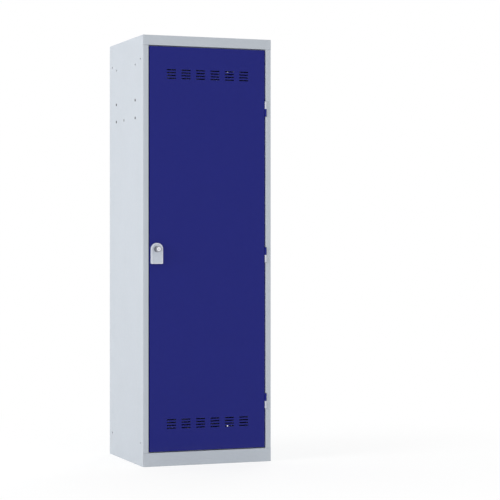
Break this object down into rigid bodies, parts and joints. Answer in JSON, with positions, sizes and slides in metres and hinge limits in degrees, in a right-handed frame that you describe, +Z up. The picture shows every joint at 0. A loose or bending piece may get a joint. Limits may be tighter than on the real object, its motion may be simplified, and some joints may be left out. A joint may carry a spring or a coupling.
{
  "type": "locker",
  "caption": "Tall sheet steel clothes locker with a vented hinged door, pull handle with turning key lock, hat shelf and hanging rail.",
  "frame": {"origin": "on the floor, in the middle of the cabinet's footprint", "axes": "+X to the right as seen from the front, +Y to the back (the door faces -Y), +Z up"},
  "size_m": [0.5722, 0.5361, 1.8],
  "materials": {
    "grey_paint": "fine satin powder coat",
    "blue_paint": "fine satin powder coat",
    "zinc_steel": "zinc plated",
    "dark_rivet": "dark zinc plated",
    "bright_tube": "bright plated",
    "satin_casting": "satin casting",
    "polished_lock": "polished plating",
    "black_rubber": "matte"
  },
  "bodies": {
    "carcass": {"left_side_panel": "grey_paint", "right_side_panel": "grey_paint", "back_panel": "grey_paint", "top_panel": "grey_paint", "floor_panel": "grey_paint", "hat_shelf": "grey_paint", "left_rail_bracket": "grey_paint", "right_rail_bracket": "grey_paint", "shelf_rivets": "dark_rivet", "bracket_rivets": "dark_rivet", "socket_rivets": "dark_rivet", "hanging_rail": "bright_tube", "door_buffers": "black_rubber", "top_hinge_frame_leaf": "grey_paint", "middle_hinge_frame_leaf": "grey_paint", "bottom_hinge_frame_leaf": "grey_paint", "top_hinge_pin": "zinc_steel", "middle_hinge_pin": "zinc_steel", "bottom_hinge_pin": "zinc_steel"},
    "door": {"door_panel": "blue_paint", "door_stiffener": "blue_paint", "lock_handle": "satin_casting", "handle_screws": "zinc_steel", "lock_bush": "polished_lock", "lock_nut": "zinc_steel", "top_hinge_door_leaf": "blue_paint", "middle_hinge_door_leaf": "blue_paint", "bottom_hinge_door_leaf": "blue_paint"},
    "knob": {"lock_knob": "polished_lock", "lock_cam": "zinc_steel", "cam_washer": "zinc_steel", "cam_screw": "zinc_steel"},
    "key_plug": {"lock_plug": "polished_lock"}
  },
  "joints": [
    {"name": "door_swing", "type": "hinge", "parent": "carcass", "child": "door", "pos_m": [0.2614, -0.251, 0.88125], "axis": [0, 0, 1], "range_deg": [0, 180]},
    {"name": "knob_turn", "type": "hinge", "parent": "door", "child": "knob", "pos_m": [-0.2275, -0.25, 0.9075], "axis": [0, 1, 0], "range_deg": [0, 90]},
    {"name": "key_turn", "type": "hinge", "parent": "knob", "child": "key_plug", "pos_m": [-0.2275, -0.28, 0.9075], "axis": [0, 1, 0], "range_deg": [0, 90]}
  ]
}
